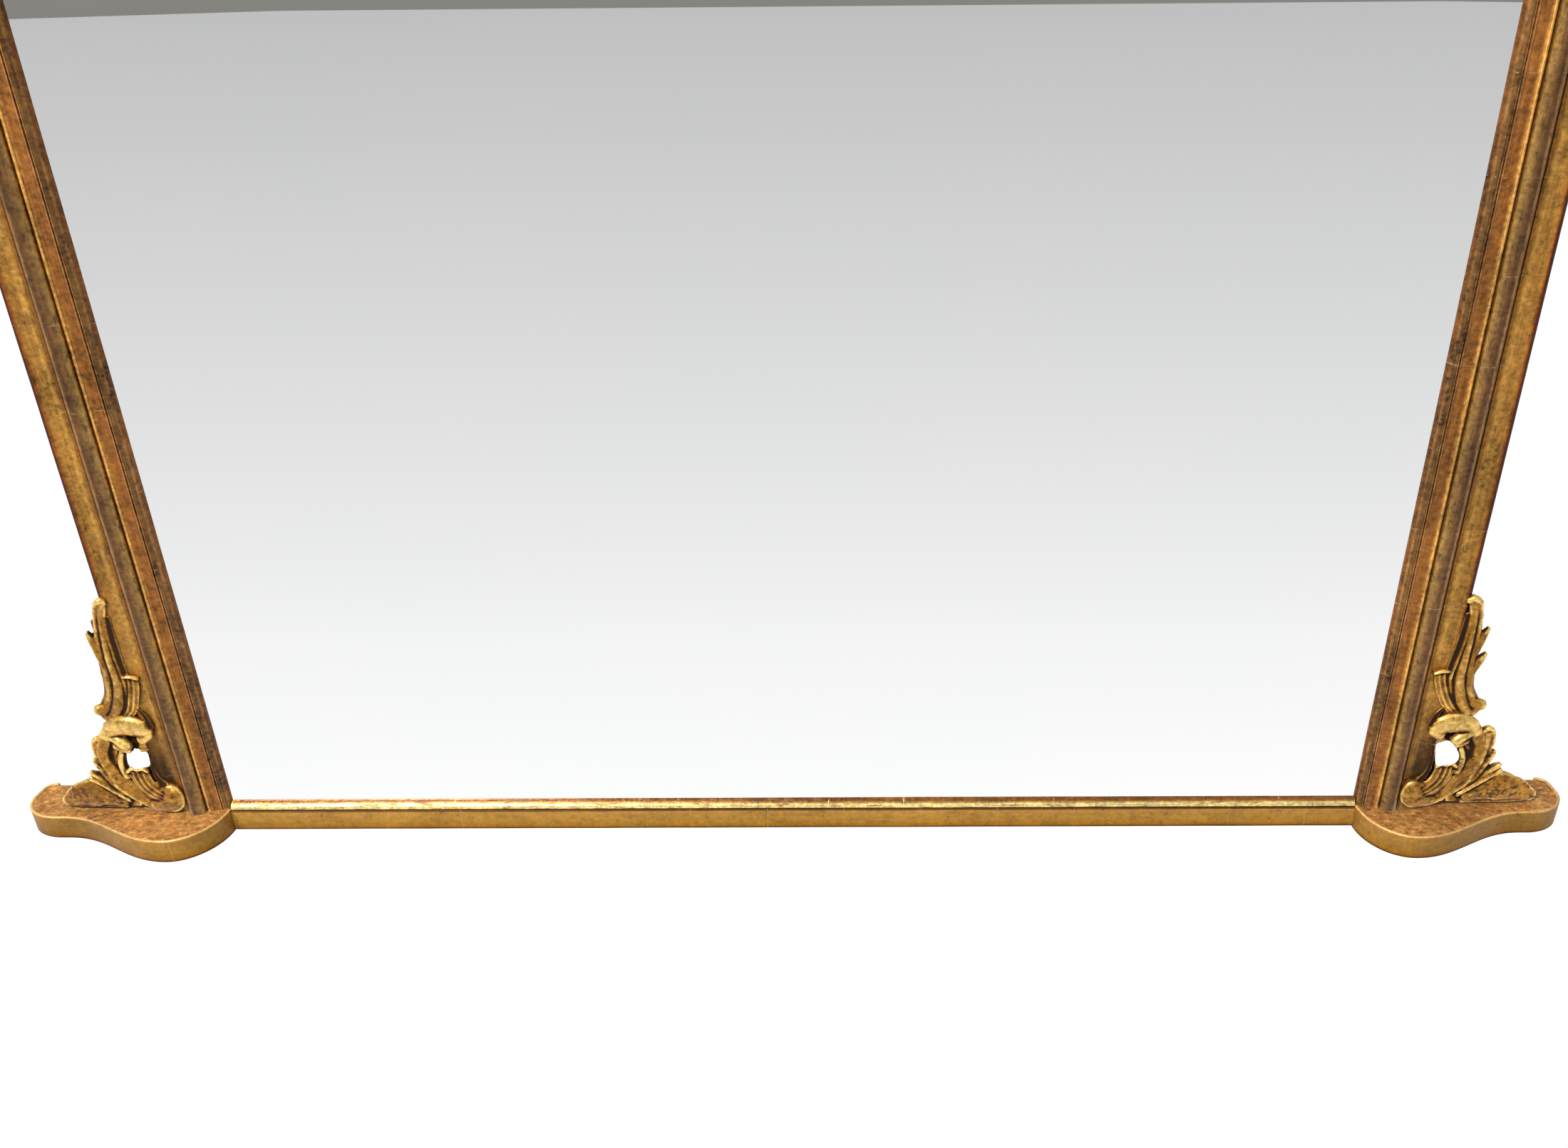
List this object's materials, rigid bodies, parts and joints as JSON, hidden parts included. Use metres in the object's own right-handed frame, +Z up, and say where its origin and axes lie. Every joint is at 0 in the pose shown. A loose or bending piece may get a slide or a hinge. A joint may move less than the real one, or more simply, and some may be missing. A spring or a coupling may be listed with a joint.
{
  "type": "pier mirror",
  "caption": "Wide giltwood overmantel mirror with rounded shoulders, carved cresting and scroll brackets, standing on serpentine feet.",
  "frame": {"origin": "on the ground, in the middle of the width and of the feet's depth", "axes": "+X to the viewer's right, +Y towards the wall, +Z up; the glass faces -Y"},
  "size_m": [1.652, 0.104, 1.78],
  "materials": {
    "mirror_plate": "silvered plate glass",
    "pine": "planed pine with a thin ochre wash",
    "aged_pine": "old unfinished pine, darkened",
    "burnished_slip": "burnished gilding rubbed through to dark bole",
    "burnished_torus": "burnished water gilding, toned down, with leaf laps",
    "bright_gilt": "bright burnished gilding with dark rubbed edges",
    "matt_gilt_bevel": "matt gilding over orange-red bole",
    "matt_gilt_band": "matt ochre gilding",
    "matt_gilt_fascia": "matt gilding, lightly toned",
    "worn_bole": "red-ochre bole and rough gesso with traces of gilding",
    "carved_gilt": "gilded carving, bright on the crests and dark in the hollows",
    "brass": "dull rolled brass",
    "iron": "dull iron wood screws"
  },
  "bodies": {
    "root": {"mirror_plate": "mirror_plate", "carcass_stile_left": "pine", "carcass_stile_right": "pine", "carcass_corner_left": "pine", "carcass_corner_right": "pine", "carcass_top_rail": "pine", "carcass_bottom_rail": "pine", "slip_left": "burnished_slip", "slip_right": "burnished_slip", "slip_corner_left": "burnished_slip", "slip_corner_right": "burnished_slip", "slip_top": "burnished_slip", "slip_bottom": "bright_gilt", "inner_moulding_left": "matt_gilt_bevel", "inner_moulding_right": "matt_gilt_bevel", "inner_moulding_corner_left": "matt_gilt_bevel", "inner_moulding_corner_right": "matt_gilt_bevel", "inner_moulding_top": "matt_gilt_bevel", "torus_left": "burnished_torus", "torus_right": "burnished_torus", "torus_corner_left": "burnished_torus", "torus_corner_right": "burnished_torus", "torus_top": "burnished_torus", "outer_moulding_left": "matt_gilt_band", "outer_moulding_right": "matt_gilt_band", "outer_moulding_corner_left": "matt_gilt_band", "outer_moulding_corner_right": "matt_gilt_band", "outer_moulding_top": "matt_gilt_band", "bottom_rail_fascia": "matt_gilt_fascia", "foot_block_left": "worn_bole", "foot_block_right": "worn_bole", "foot_facing_left": "matt_gilt_fascia", "foot_facing_right": "matt_gilt_fascia", "bracket_frond_left": "carved_gilt", "bracket_frond_right": "carved_gilt", "bracket_scroll_left": "carved_gilt", "bracket_scroll_right": "carved_gilt", "bracket_leaf_left": "carved_gilt", "bracket_leaf_right": "carved_gilt", "crest_palmette": "carved_gilt", "crest_boss": "carved_gilt", "crest_frond_left": "carved_gilt", "crest_frond_right": "carved_gilt", "crest_scroll_left": "carved_gilt", "crest_scroll_right": "carved_gilt", "crest_leaf_left": "carved_gilt", "crest_leaf_right": "carved_gilt", "backboard_1": "aged_pine", "backboard_2": "aged_pine", "backboard_3": "aged_pine", "backboard_4": "aged_pine", "backboard_5": "aged_pine", "plate_blocks": "aged_pine", "carcass_dowels": "aged_pine", "carving_dowels": "aged_pine", "bracket_screws": "iron", "foot_screws": "iron", "backboard_screws": "iron", "wall_plates": "brass", "wall_plate_screws": "brass"}
  },
  "joints": []
}
